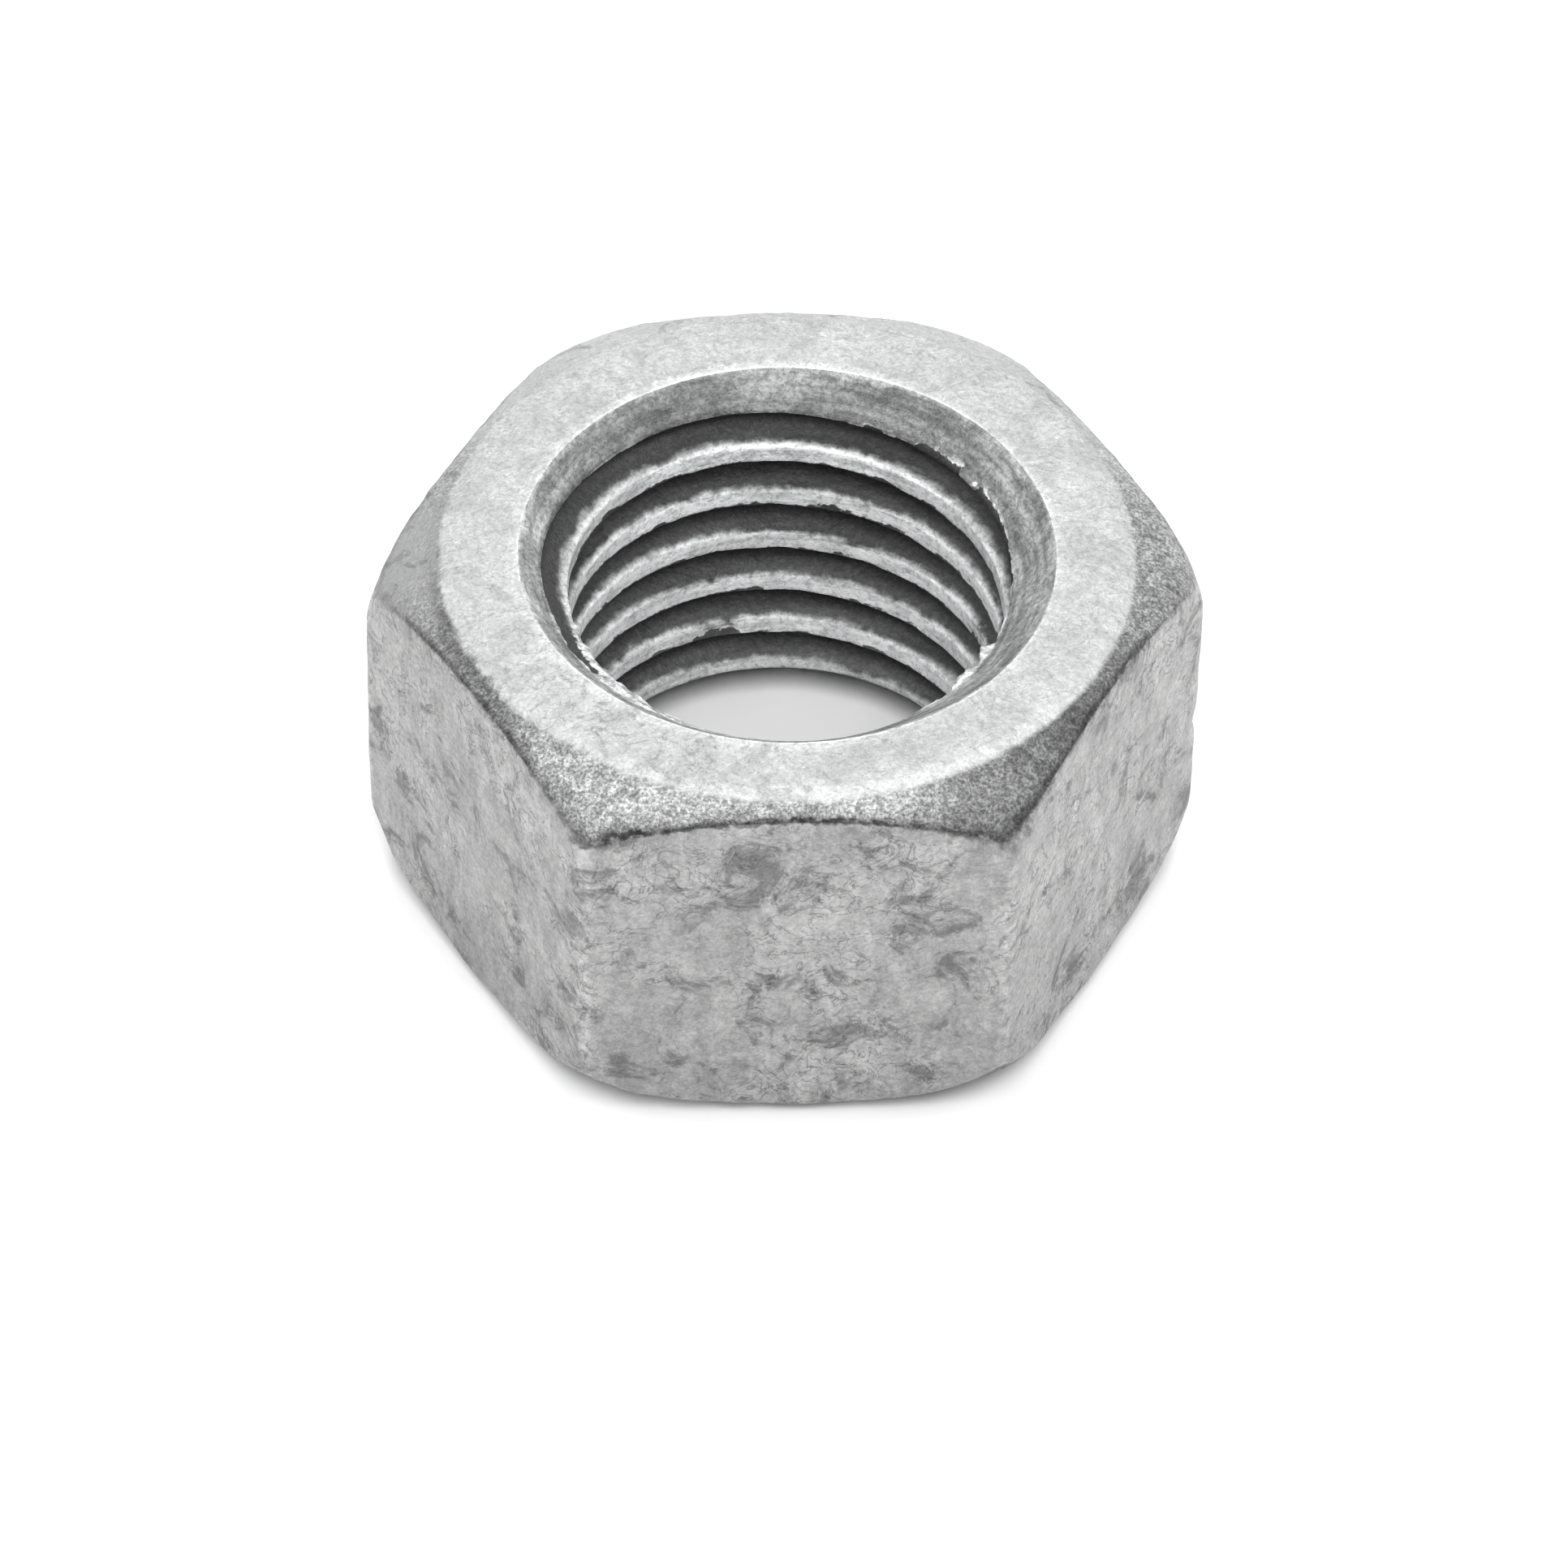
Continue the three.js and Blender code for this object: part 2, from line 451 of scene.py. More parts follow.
def quads_between(index, bore_count, per_turn):
    """The quads that join each row to the next, and the last row to the first."""
    rows = len(index)
    following = np.roll(np.arange(COLUMNS), -1)
    quads = []
    for row in range(rows):
        above = (row + 1) % rows
        left_low, left_high = index[row], index[above]
        right_low, right_high = index[row][following].copy(), index[above][following].copy()
        if row < bore_count:
            # The last column meets the first one a whole turn higher.
            right_low[-1] = index[min(row + per_turn, bore_count - 1)][0]
            if above < bore_count:
                right_high[-1] = index[min(above + per_turn, bore_count - 1)][0]
        quads.append(np.stack([left_low, left_high, right_high, right_low], 1))
    return np.concatenate(quads)


def nut_mesh():
    """Points, quads and marks of the nut before anything is roughened."""
    rings = Rings(np.arange(COLUMNS) * 2 * math.pi / COLUMNS)
    bore_count, per_turn = add_bore(rings)
    add_outside(rings)
    points = np.stack(rings.points)
    index = np.arange(len(points) * COLUMNS).reshape(len(points), COLUMNS)
    fold_at_faces(points, index, bore_count)
    quads = quads_between(index, bore_count, per_turn)
    marks = {name: np.concatenate([row[name] for row in rings.marks]) for name in rings.marks[0]}
    return points.reshape(-1, 3), quads, marks


def tidy_polygons(quads):
    """Each quad as a list without repeated corners; what has fewer than three is dropped."""
    following = np.roll(quads, -1, axis=1)
    same = (quads == following).any(axis=1)
    polygons = quads[~same].tolist()
    for quad in quads[same].tolist():
        corners = list(dict.fromkeys(quad))
        if len(corners) >= 3:
            polygons.append(corners)
    return polygons


def surface_normals(points, quads):
    """Vertex normals from the quads' diagonals."""
    a, b, c, d = (points[quads[:, i]] for i in range(4))
    across = np.cross(c - a, d - b)
    normals = np.zeros_like(points)
    for i in range(4):
        np.add.at(normals, quads[:, i], across)
    length = np.linalg.norm(normals, axis=1)
    return normals / np.maximum(length, 1e-12)[:, None]


# ---------------------------------------------------------------- wear, and painted light and shade


def mark_outside(points, marks, outside):
    """Marks that tell the material where each outside vertex is, in millimetres, how it has worn, and where
    light and shade are painted on it.
    """
    radius = np.hypot(points[:, 0], points[:, 1])
    angle = np.arctan2(points[:, 1], points[:, 0])
    to_end = np.minimum(points[:, 2], HEIGHT - points[:, 2])
    flat = hex_distance(points)
    cone = cone_distance(points, -to_end)
    sine = CHAMFER_SLOPE / math.hypot(1, CHAMFER_SLOPE)
    from_corner = np.abs(((angle + math.pi / 6) % (math.pi / 3)) - math.pi / 6) * HALF_FLATS
    blunt_corner = BLUNT_TIP * bump_at(from_corner, 0, 1.3)
    marks["past_face"] = np.where(outside, (cone + to_end) / sine, -FAR)
    marks["down_side"] = np.where(outside, flat - cone + blunt_corner, -FAR)
    marks["from_mouth"] = np.where(outside, radius - SINK_RADIUS, -to_end)
    marks["corner"] = np.where(outside, from_corner, FAR)

    upper = np.clip(points[:, 2] - HEIGHT / 2, 0, 1)
    wobbled = angle + np.radians(TONE_WOBBLE) * noise(points, 3.0, 61)
    crease = bump_at(marks["past_face"], 0.45, 0.3) * facing(angle, *CREASE_AT)
    # Wear on the chamfer, with painted light and shade by direction.
    marks["chamfer_wear_light_and_shade"] = by_angle(wobbled, CHAMFER_WEAR_LIGHT_AND_SHADE) * (1 - 0.4 * crease * upper)
    # The seam's darkness by direction, partly painted shadow in its crevice.
    marks["seam"] = by_angle(wobbled, SEAM_DARKNESS_AND_SHADOW) * upper
    marks["edge_wear"] = 0.35 + 1.35 * facing(angle, *WORN_EDGE_AT)
    marks["fade"] = facing(angle, *FADING_AT)
    marks["specks"] = 0.16 + 0.20 * facing(angle, *SPECKS_AT)
    # Painted shade: the flats darken over their lowest millimetres.
    marks["foot_shade"] = 0.87 + 0.13 * np.clip((points[:, 2] - 1) / 6, 0, 1)
    # A painted highlight along the front edge of the bearing face.
    marks["front_rim_highlight"] = bump_at(marks["past_face"], -0.2, 0.4) * facing(angle, *FRONT_RIM_HIGHLIGHT_AT)
    behind = np.clip((80 - angle_gap(angle, 90)) / 25, 0, 0.8)
    marks["smooth"] = np.maximum(facing(angle, *SMOOTH_AT) * upper, behind)


def coat_and_lit_flank_reach(angle, turns_down, upper):
    """How far the zinc comes round a ridge's edge into the groove, in millimetres; on the upper side the
    reach also paints light onto the lit part of the flank, most on the first turn and at the left and right.
    """
    side = sideways(angle, 1.3)
    reach = np.where(upper, 0.02 + 0.22 * side, -0.07)
    return np.where(upper & (turns_down < 1.55), 0.2 + 0.1 * side, reach)


def ridge_painted_shade(angle, turns_down):
    """How light the ridges' zinc is: painted shade at the foot of the bore and at the left and right, most of
    all on the first turn.
    """
    foot = 1 - 0.36 * np.clip(turns_down - 5.3, 0, 0.8)
    return foot - np.where(turns_down < 1.8, 0.34, 0.2) * sideways(angle, 1.5)


def groove_tone(angle, turns_down):
    """How light the grooves' bare steel and painted shade are: zinc dust clings on the left of the first one.
    """
    dusty = facing(angle, *DUST_AT) * np.clip(1.9 - turns_down, 0, 1)
    return 0.56 + 0.27 * turns_down + 0.2 * dusty


def mark_bore(points, marks, angle):
    """Marks that tell the material where the zinc, and the painted light on the upper flanks, end in the
    bore, and how light each zone is, painted light and shade included.
    """
    upper = marks["upper"] > 0.5
    # Zinc, plus painted light on the lit part of the upper flanks.
    marks["coat_and_lit_flank"] = coat_and_lit_flank_reach(angle, marks["turns_down"], upper) - marks["groove"]
    # Above a ridge the wide edge paints a soft shadow edge.
    marks["coat_and_shadow_edge"] = np.where(upper, 1 / COAT_AND_SHADOW_EDGE_ABOVE, 1 / COAT_EDGE_BELOW)
    marks["past_ridge"] = marks["groove"] * marks["upper"]
    # Painted shade on the ridges at the foot and the sides.
    marks["ridge_painted_shade"] = ridge_painted_shade(angle, marks["turns_down"])
    marks["groove_tone"] = groove_tone(angle, marks["turns_down"])
    # Painted light and shade on the countersinks by direction.
    marks["sink_light_and_shade"] = by_angle(angle, SINK_LIGHT_AND_SHADE)
    # Painted highlight round the countersink's rim, strongest at the back and the left.
    marks["rim_highlight"] = 0.3 + 0.7 * facing(angle, *BACK_RIM_HIGHLIGHT_AT) + 0.4 * facing(angle, *LEFT_RIM_HIGHLIGHT_AT)
    chipped = np.clip(0.15 + 3.5 * rough_noise(points, 0.9, 67, 3), 0, 1)
    chipped = chipped * facing(angle, *CHIPPED_ZINC_AT) * (points[:, 2] > HEIGHT / 2)
    marks["sink"] = marks["sink"] - CHIPPED_BACK * chipped


def roughen_outside(points, marks):
    """Lumps in the zinc, a beaten edge under the chamfer, and nicks in the upright edges."""
    lift = BROAD_LUMPS * noise(points, 6.0, 3) + SMALL_LUMPS * rough_noise(points, 1.6, 7)
    lift += FINE_LUMPS * rough_noise(points, 0.55, 11, 2)
    lift += SEAM_LUMPS * rough_noise(points, 1.1, 31) * bump_at(marks["down_side"], -0.1, 0.3)
    lift -= SEAM_GROOVE * bump_at(marks["down_side"], -0.12, 0.14) * (0.6 + noise(points, 1.7, 37))
    nicks = np.maximum(noise(points * (1, 1, 0.6), 1.2, 41) - 0.4, 0) * EDGE_NICKS
    lift -= nicks * bump_at(marks["corner"], 0, 0.9) * (marks["down_side"] > 0)
    lift += EDGE_LUMPS * rough_noise(points, 1.3, 43, 2) * bump_at(marks["corner"], 0, 0.8)
    rim = bump_at(marks["from_mouth"], 0.25, 0.2)
    return lift + rim * (RIM_SWELL + RIM_LUMPS * rough_noise(points, 0.7, 47))


def roughen_bore(points, marks, angle):
    """Tool waves, torn ridge edges, and chips in the edge of the upper countersink."""
    lift = TOOL_WAVES * rough_noise(points, 1.0, 5)
    torn = bump_at(marks["groove"], 0, 0.1) * (marks["sink"] < 0) * (marks["upper"] < 0.5)
    lift += TORN_RIDGES * rough_noise(points * (1, 1, 0.5), 0.9, 23, 2) * torn
    chips = np.maximum(noise(points, 0.9, 59), 0) * facing(angle, *CHIPPED_STEEL_AT)
    chips = chips * (points[:, 2] > HEIGHT / 2)
    return lift - MOUTH_CHIPS * chips * bump_at(marks["sink"], 0.02, 0.1)


def torn_lip(points, marks, angle):
    """How far the torn lip of the first turn leans into the bore, on the -Y side."""
    reach = LIP_ON_LEFT * facing(angle, *LEFT_LIP_AT) + LIP_ON_RIGHT * facing(angle, *RIGHT_LIP_AT)
    ragged = np.clip(0.8 + 0.8 * rough_noise(points, 0.6, 53), 0.15, 1.5)
    return bump_at(marks["sink"], 0.0, 0.16) * reach * ragged * (points[:, 2] > HEIGHT / 2)


def shaped_nut():
    """Points, quads and marks of the worn nut, in millimetres."""
    points, quads, marks = nut_mesh()
    outside = marks["inside"] < 0.5
    points[outside] = settle(points[outside])
    angle = np.arctan2(points[:, 1], points[:, 0])
    normals = surface_normals(points, quads)
    mark_outside(points, marks, outside)
    mark_bore(points, marks, angle)
    lift = np.where(outside, roughen_outside(points, marks), roughen_bore(points, marks, angle))
    points = points + normals * lift[:, None]
    lean = torn_lip(points, marks, angle) * ~outside
    points[:, :2] -= lean[:, None] * np.stack([np.cos(angle), np.sin(angle)], 1)
    points[:, 2] = np.maximum(points[:, 2] + 0.5 * lean, 0)
    marks["burr"] = lean
    for name in ("groove", "upper", "turns_down"):
        marks.pop(name)
    return points, quads, marks


def build_nut():
    """The worn nut as one object, with its marks as attributes that the material reads."""
    points, quads, marks = shaped_nut()
    polygons = tidy_polygons(quads)
    used = np.unique(np.concatenate([np.array(p) for p in polygons]))
    renumber = np.full(len(points), -1)
    renumber[used] = np.arange(len(used))
    renumber = renumber.tolist()
    mesh = bpy.data.meshes.new("galvanised_nut")
    faces = [[renumber[vertex] for vertex in polygon] for polygon in polygons]
    mesh.from_pydata((points[used] * MM).tolist(), [], faces)
    for name, values in marks.items():
        layer = mesh.attributes.new(name, "FLOAT", "POINT")
        layer.data.foreach_set("value", values[used].astype(np.float32))
    mesh.shade_smooth()
    nut = bpy.data.objects.new("galvanised_nut", mesh)
    bpy.context.scene.collection.objects.link(nut)
    return nut


# ---------------------------------------------------------------- materials


class Nodes:
    """Short names for the few shader nodes that the materials use."""

    def __init__(self, material):
        material.use_nodes = True
        self.tree = material.node_tree
        self.tree.nodes.clear()

    def add(self, kind, **settings):
        node = self.tree.nodes.new(kind)
        for name, value in settings.items():
            setattr(node, name, value)
        return node

    def link(self, source, target):
        self.tree.links.new(source, target)

    def put(self, value, socket):
        if isinstance(value, bpy.types.NodeSocket):
            self.link(value, socket)
        else:
            socket.default_value = value

    def math(self, operation, a, b=0.0):
        node = self.add("ShaderNodeMath", operation=operation)
        self.put(a, node.inputs[0])
        self.put(b, node.inputs[1])
        return node.outputs[0]

    def times(self, first, *others):
        product = first
        for other in others:
            product = self.math("MULTIPLY", product, other)
        return product

    def plus(self, a, b):
        return self.math("ADD", a, b)

    def minus(self, a, b):
        return self.math("SUBTRACT", a, b)

    def swing(self, texture, amount):
        """A texture as a value either side of 0."""
        return self.times(self.minus(texture, 0.5), amount)

    def darker(self, value, amount):
        """The value without the given share of it."""
        return self.times(value, self.minus(1.0, amount))

    def lighter(self, value, amount):
        """The value with the given share added."""
        return self.times(value, self.plus(1.0, amount))

    def ramp(self, value, low, high, out_low=0.0, out_high=1.0):
        node = self.add("ShaderNodeMapRange", interpolation_type="SMOOTHSTEP")
        self.put(value, node.inputs["Value"])
        node.inputs["From Min"].default_value = low
        node.inputs["From Max"].default_value = high
        node.inputs["To Min"].default_value = out_low
        node.inputs["To Max"].default_value = out_high
        return node.outputs[0]

    def mix(self, share, a, b, **settings):
        node = self.add("ShaderNodeMix", data_type="RGBA", **settings)
        self.put(share, node.inputs["Factor"])
        self.put(a, node.inputs[6])
        self.put(b, node.inputs[7])
        return node.outputs[2]

    def blend(self, share, a, b):
        node = self.add("ShaderNodeMix", data_type="FLOAT")
        self.put(share, node.inputs["Factor"])
        self.put(a, node.inputs[2])
        self.put(b, node.inputs[3])
        return node.outputs[0]

    def mark(self, name):
        return self.add("ShaderNodeAttribute", attribute_name=name).outputs["Fac"]

    def place(self, stretch=(1, 1, 1)):
        """Where a texture is looked up: the object's own coordinates, stretched along each axis."""
        coords = self.add("ShaderNodeTexCoord")
        mapping = self.add("ShaderNodeMapping")
        mapping.inputs["Scale"].default_value = stretch
        self.link(coords.outputs["Object"], mapping.inputs["Vector"])
        return mapping.outputs[0]

    def noise(self, where, size_mm, detail=3.0, roughness=0.55, distortion=0.0):
        node = self.add("ShaderNodeTexNoise")
        self.link(where, node.inputs["Vector"])
        node.inputs["Scale"].default_value = 1 / (size_mm * MM)
        node.inputs["Detail"].default_value = detail
        node.inputs["Roughness"].default_value = roughness
        node.inputs["Distortion"].default_value = distortion
        return node.outputs["Fac"]


def grey(value, warmth=0.0):
    """A grey of the given lightness, a little redder and less blue when warmth is above 0."""
    return (value * (1 + warmth), value, value * (1 - warmth), 1)


def nut_textures(n):
    """Noise at every size that the nut's zones share, named by what it draws."""
    where = n.place()
    return {
        "broad": n.noise(where, 4.5, 3),
        "patches": n.noise(where, 2.2, 6, 0.66, 0.9),
        "worms": n.noise(where, 1.3, 5, 0.55, 1.2),
        "edges": n.noise(where, 0.5, 3, 0.6),
        "grain": n.noise(where, 0.24, 4, 0.7, 0.4),
        "fine": n.noise(where, 0.13, 2, 0.6),
        "streaks": n.noise(n.place((1, 1, 0.3)), 0.8, 3, 0.6),
        "turned": n.noise(n.place((0.12, 0.12, 2.5)), 0.8, 3, 0.6),
    }


def face_value(n, tex):
    """Satin zinc on the bearing face, with a painted highlight round the mouth and another along its front
    rim, and faint specks and dashes.
    """
    value = n.ramp(tex["grain"], 0.32, 0.66, *FACE_GREY)
    value = n.times(value, n.ramp(tex["fine"], 0.3, 0.7, 0.92, 1.08))
    value = n.times(value, n.ramp(tex["patches"], 0.34, 0.64, 1.07, 0.92))
    from_line = n.math("ABSOLUTE", n.minus(tex["worms"], 0.5))
    dashes = n.times(n.ramp(from_line, 0.05, 0.0), n.ramp(tex["edges"], 0.46, 0.58))
    specks = n.times(n.ramp(tex["fine"], 0.48, 0.6), n.ramp(tex["patches"], 0.48, 0.62))
    value = n.darker(value, n.times(n.math("MAXIMUM", dashes, specks), n.mark("specks")))
    # Painted highlight on the face round the mouth.
    rim = n.ramp(n.plus(n.mark("from_mouth"), n.swing(tex["edges"], 0.7)), 0.6, 0.35)
    value = n.lighter(value, n.times(rim, n.mark("rim_highlight"), 0.26))
    # Painted highlight along the front rim.
    return n.lighter(value, n.times(n.mark("front_rim_highlight"), 0.22))


def side_value(n, tex):
    """The flats: mottled, with dark blotches, fine worm-like lines, streaks, nicked edges and painted shade
    towards their foot.
    """
    value = n.times(n.ramp(tex["broad"], 0.3, 0.7, *SIDE_GREY), n.mark("foot_shade"))
    value = n.darker(value, n.times(n.ramp(tex["patches"], 0.52, 0.64), 0.46))
    value = n.lighter(value, n.times(n.ramp(tex["patches"], 0.47, 0.36), 0.15))
    from_line = n.math("ABSOLUTE", n.minus(tex["worms"], 0.5))
    lines = n.times(n.ramp(from_line, 0.026, 0.0), n.ramp(tex["broad"], 0.40, 0.55))
    value = n.darker(value, n.times(lines, 0.48))
    value = n.times(value, n.ramp(tex["streaks"], 0.3, 0.7, 0.88, 1.10))
    value = n.times(value, n.ramp(tex["grain"], 0.32, 0.68, 0.82, 1.15))
    value = n.times(value, n.ramp(tex["fine"], 0.3, 0.7, 0.90, 1.09))
    edge = n.times(n.ramp(n.mark("corner"), 0.45, 0.1), n.ramp(tex["edges"], 0.40, 0.58, -0.06, 0.26))
    return n.lighter(value, edge)


def chamfer_value(n, tex):
    """The grainy chamfer: smooth at the back and left, worn darker in places, with painted light and shade
    round the axis, fading at the front.
    """
    grain = n.ramp(tex["fine"], 0.38, 0.62, 0.62, 1.30)
    grain = n.times(grain, n.ramp(tex["grain"], 0.3, 0.7, 0.66, 1.30))
    grain = n.times(grain, n.ramp(tex["edges"], 0.32, 0.68, 0.77, 1.21))
    grain = n.blend(n.mark("smooth"), grain, n.ramp(tex["grain"], 0.3, 0.7, 0.92, 1.04))
    value = n.times(grain, CHAMFER_GREY, n.mark("chamfer_wear_light_and_shade"))
    fading = n.ramp(n.mark("down_side"), -1.0, -0.1, 1.16, 0.74)
    value = n.times(value, n.blend(n.mark("fade"), 1.0, fading))
    dents = n.ramp(tex["worms"], 0.56, 0.66)
    return n.darker(value, n.times(dents, 0.30))


def sink_value(n, tex):
    """The streaked countersinks, with painted highlights on the rim and the inner edge, painted light and
    shade by direction, and the torn lip.
    """
    sink = n.ramp(tex["turned"], 0.34, 0.66, *SINK_GREY)
    sink = n.times(sink, n.ramp(tex["patches"], 0.36, 0.64, 0.68, 1.25))
    sink = n.times(sink, n.ramp(tex["grain"], 0.34, 0.66, 0.64, 1.30))
    # Painted highlight along the countersink's inner edge.
    inner_edge_highlight = n.times(n.ramp(n.mark("sink"), 0.20, 0.05), n.ramp(tex["edges"], 0.4, 0.55, 0.1, 1.2))
    sink = n.lighter(sink, inner_edge_highlight)
    # Painted highlight on the countersink's rim.
    rim = n.ramp(n.plus(n.mark("from_mouth"), n.swing(tex["edges"], 0.6)), -0.22, -0.04)
    sink = n.lighter(sink, n.times(rim, n.mark("rim_highlight"), 0.7))
    # Painted light and shade by direction.
    sink = n.times(sink, n.mark("sink_light_and_shade"))
    torn = n.times(n.ramp(tex["edges"], 0.38, 0.56, *TORN_GREY), n.ramp(tex["fine"], 0.35, 0.6, 0.75, 1.1))
    return n.blend(n.ramp(n.mark("burr"), 0.02, 0.08), sink, torn)


def ridge_value(n, tex):
    """The zinc on the ridges, with painted shade where it runs round their upper edge into the groove, and at
    the foot and the sides.
    """
    ridge = n.ramp(tex["patches"], 0.42, 0.60, 1.14, 0.84)
    ridge = n.times(ridge, n.ramp(tex["turned"], 0.34, 0.5, 0.80, 1.05))
    ridge = n.times(ridge, n.ramp(tex["grain"], 0.36, 0.56, 0.72, 1.12))
    # Painted shade deeper down the upper flank, under the ridge above.
    ridge = n.times(ridge, n.ramp(n.mark("past_ridge"), -0.02, 0.4, 1.0, 0.6))
    # Painted shade at the foot and the sides.
    return n.times(ridge, n.mark("ridge_painted_shade"))


def bore_value(n, tex):
    """Ridges that keep their zinc, bare grooves made near black with painted shade, and the countersinks."""
    # Bare steel darkened with painted shade deep in the grooves.
    groove = n.times(n.ramp(tex["turned"], 0.3, 0.7, *GROOVE_STEEL_AND_SHADE_GREY), n.mark("groove_tone"))
    groove = n.times(groove, n.ramp(tex["grain"], 0.4, 0.65, 0.85, 1.3))
    ragged = n.plus(n.swing(tex["edges"], 0.42), n.swing(tex["patches"], 0.75))
    streaked = n.swing(tex["turned"], 0.35)
    worn_away = n.times(n.ramp(tex["broad"], 0.54, 0.68), n.ramp(tex["edges"], 0.36, 0.56, 0.1, 0.5))
    # Where the ridge colour goes: the zinc, and painted light on the lit part of the upper flanks.
    inset = n.minus(n.plus(n.mark("coat_and_lit_flank"), n.plus(ragged, streaked)), worn_away)
    zinc_and_lit_share = n.ramp(n.times(inset, n.mark("coat_and_shadow_edge")), -0.5, 0.5)
    thread = n.blend(zinc_and_lit_share, groove, ridge_value(n, tex))
    on_sink = n.plus(n.mark("sink"), n.plus(ragged, n.times(n.mark("burr"), 3.0)))
    return n.blend(n.ramp(on_sink, -0.02, 0.04), thread, sink_value(n, tex))


def seam_darkness_and_shadow(n, tex, down_side):
    """How dark the wandering, broken seam between the chamfer and the flats is, partly its own colour and
    partly painted shadow in its crevice.
    """
    wander = n.plus(n.swing(tex["edges"], 0.5), n.swing(tex["patches"], 0.7))
    seam = n.plus(down_side, wander)
    line = n.times(n.ramp(seam, -0.32, -0.08), n.ramp(seam, 0.15, 0.0))
    return n.times(line, n.ramp(tex["patches"], 0.38, 0.6, 0.6, 1.25), n.mark("seam"))


def surface_bump(n, tex, rough_zone):
    """Relief too small for the mesh, coarser where rough_zone is 1."""
    coarse = n.blend(rough_zone, 0.75, 1.5)
    height = n.plus(n.times(tex["patches"], 1.5), n.times(tex["grain"], coarse))
    height = n.plus(height, n.times(tex["fine"], n.times(coarse, 0.35)))
    bump = n.add("ShaderNodeBump")
    bump.inputs["Distance"].default_value = BUMP_DEPTH * MM
    bump.inputs["Strength"].default_value = 1.0
    n.link(n.plus(height, tex["worms"]), bump.inputs["Height"])
    return bump.outputs[0]


def zinc_and_steel():
    """Zinc on the outside and on the ridges' flats; bare cut steel in the grooves, darkened with painted
    shade; painted light and shade in other zones too.
    """
    material = bpy.data.materials.new("galvanised_steel")
    n = Nodes(material)
    tex = nut_textures(n)
    down_side = n.mark("down_side")
    inside = n.mark("inside")
    past_face = n.plus(n.mark("past_face"), n.times(n.minus(tex["patches"], 0.5), n.mark("edge_wear")))
    on_chamfer = n.ramp(past_face, 0.05, 0.35)
    on_side = n.ramp(down_side, -0.05, 0.07)
    value = n.blend(on_chamfer, face_value(n, tex), chamfer_value(n, tex))
    value = n.blend(on_side, value, side_value(n, tex))
    # The seam's own darkness and painted shadow in its crevice.
    value = n.darker(value, seam_darkness_and_shadow(n, tex, down_side))
    value = n.blend(inside, value, bore_value(n, tex))
    tint = n.mix(on_side, grey(1.0, -0.006), grey(1.0, 0.002))
    tint = n.mix(inside, tint, grey(1.0, -0.008))

    shader = n.add("ShaderNodeBsdfPrincipled")
    output = n.add("ShaderNodeOutputMaterial")
    n.link(shader.outputs[0], output.inputs["Surface"])
    n.link(n.mix(1.0, tint, value, blend_type="MULTIPLY"), shader.inputs["Base Color"])
    n.link(n.ramp(inside, 0.0, 1.0, METAL_OUTSIDE, METAL_IN_BORE), shader.inputs["Metallic"])
    n.link(n.ramp(tex["patches"], 0.3, 0.7, *ROUGHNESS), shader.inputs["Roughness"])
    rough_zone = n.times(on_chamfer, n.minus(1.0, on_side))
    n.link(surface_bump(n, tex, rough_zone), shader.inputs["Normal"])
    return material


def floor_material():
    material = bpy.data.materials.new("pale_floor")
    n = Nodes(material)
    darkest, lightest = FLOOR_GREY
    shade = n.mix(n.noise(n.place(), 40, 2), grey(darkest), grey(lightest))
    shader = n.add("ShaderNodeBsdfPrincipled")
    output = n.add("ShaderNodeOutputMaterial")
    n.link(shader.outputs[0], output.inputs["Surface"])
    n.link(shade, shader.inputs["Base Color"])
    shader.inputs["Roughness"].default_value = 0.9
    return material


# ---------------------------------------------------------------- stage, lights, camera


def lay_floor():
    mesh = bpy.data.meshes.new("floor")
    corners = [(-1, -1, 0), (1, -1, 0), (1, 1, 0), (-1, 1, 0)]
    mesh.from_pydata([(x * FLOOR_SIZE, y * FLOOR_SIZE, z) for x, y, z in corners], [], [(0, 1, 2, 3)])
    mesh.materials.append(floor_material())
    floor = bpy.data.objects.new("floor", mesh)
    floor.location.z = LOW.z - FLOOR_GAP
    bpy.context.scene.collection.objects.link(floor)


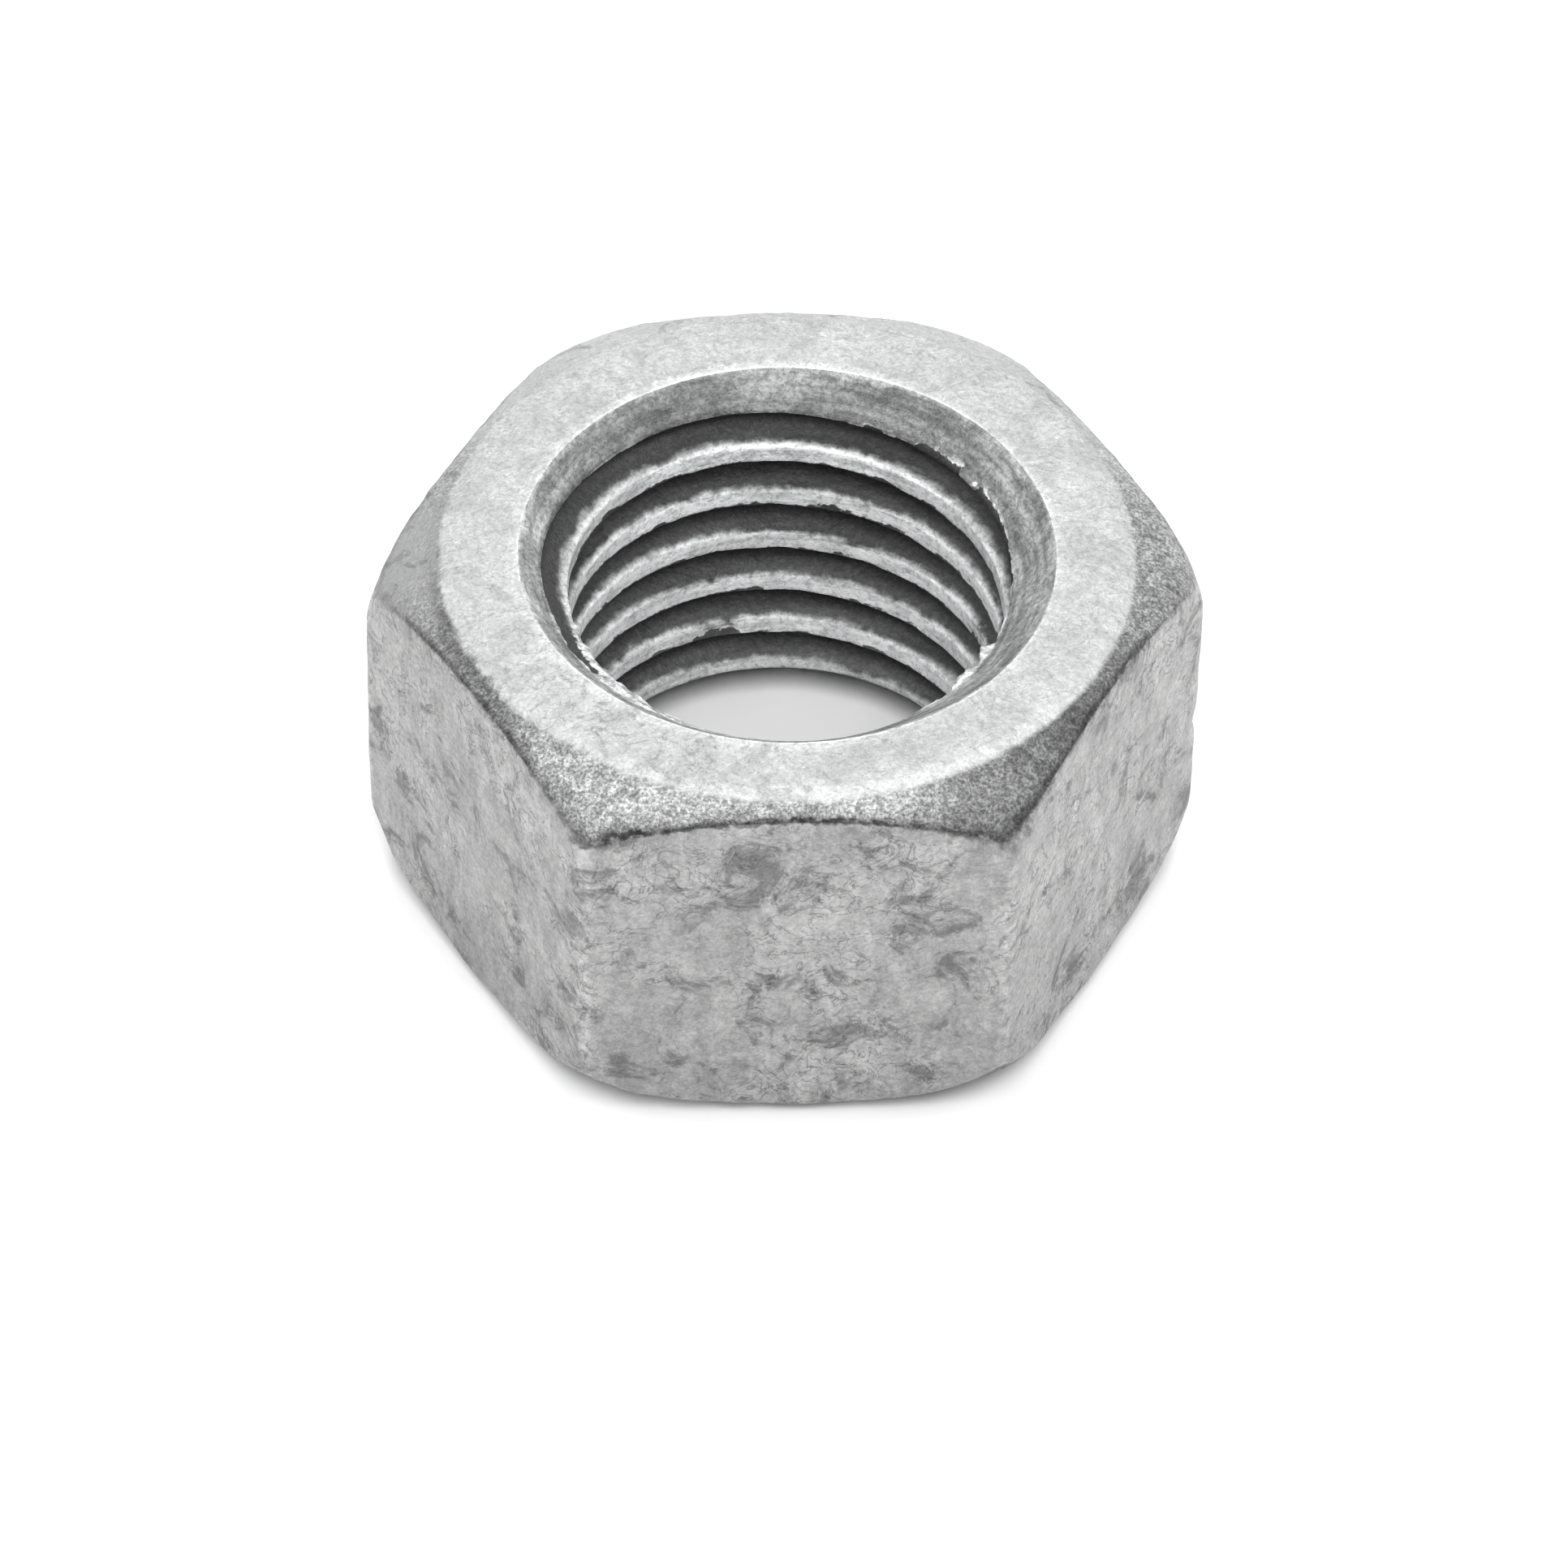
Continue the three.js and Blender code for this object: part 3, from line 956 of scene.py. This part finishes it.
def light_from(name, azimuth, elevation, watts):
    """A round soft light; azimuth 0 is behind the nut, as the camera sees it, and 90 is to its right."""
    turn, rise = math.radians(azimuth), math.radians(elevation)
    flat = LIGHT_DISTANCE * math.cos(rise)
    place = Vector((flat * math.sin(turn), flat * math.cos(turn), LIGHT_DISTANCE * math.sin(rise)))
    data = bpy.data.lights.new(name, "AREA")
    data.shape = "DISK"
    data.size = LIGHT_SIZE
    data.energy = watts
    light = bpy.data.objects.new(name, data)
    light.location = place
    light.rotation_euler = (-place).to_track_quat("-Z", "Y").to_euler()
    bpy.context.scene.collection.objects.link(light)


def light_the_studio():
    world = bpy.data.worlds.new("studio")
    world.use_nodes = True
    background = world.node_tree.nodes["Background"]
    background.inputs["Color"].default_value = (1, 1, 1, 1)
    background.inputs["Strength"].default_value = WORLD_STRENGTH
    bpy.context.scene.world = world
    light_from("back", 0, 48, 1.45)
    light_from("left", -80, 42, 1.0)
    light_from("right", 85, 40, 1.08)
    light_from("front", 180, 62, 2.6)
    light_from("low_front", 180, 20, 0.2)


def place_camera():
    """Looks at a point a little below the nut's centre, from the front and above, with a slight roll."""
    elevation, azimuth, roll = (math.radians(a) for a in (CAMERA_ELEVATION, CAMERA_AZIMUTH, CAMERA_ROLL))
    centre = Vector((0, 0, LOW.z + HEIGHT * MM / 2))
    flat = math.cos(elevation)
    towards = Vector((math.sin(azimuth) * flat, -math.cos(azimuth) * flat, math.sin(elevation)))
    place = centre + towards * CAMERA_DISTANCE * MM
    right = (-towards).cross(Vector((0, 0, 1))).normalized()
    up = right.cross(-towards)
    rolled_up = up * math.cos(roll) - right * math.sin(roll)
    aim = centre - rolled_up * AIM_BELOW_CENTRE * MM
    back = (place - aim).normalized()
    right = rolled_up.cross(back).normalized()
    up = back.cross(right)
    turn = Matrix((right, up, back)).transposed().to_4x4()
    data = bpy.data.cameras.new("camera")
    data.lens = LENS
    data.sensor_width = SENSOR
    data.clip_start = 0.01
    camera = bpy.data.objects.new("camera", data)
    camera.matrix_world = Matrix.Translation(place) @ turn
    bpy.context.scene.collection.objects.link(camera)
    bpy.context.scene.camera = camera


nut = build_nut()
nut.data.materials.append(zinc_and_steel())
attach(nut, "root")
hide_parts("hex_nut")
lay_floor()
light_the_studio()
place_camera()
bpy.context.scene.view_settings.view_transform = "Standard"
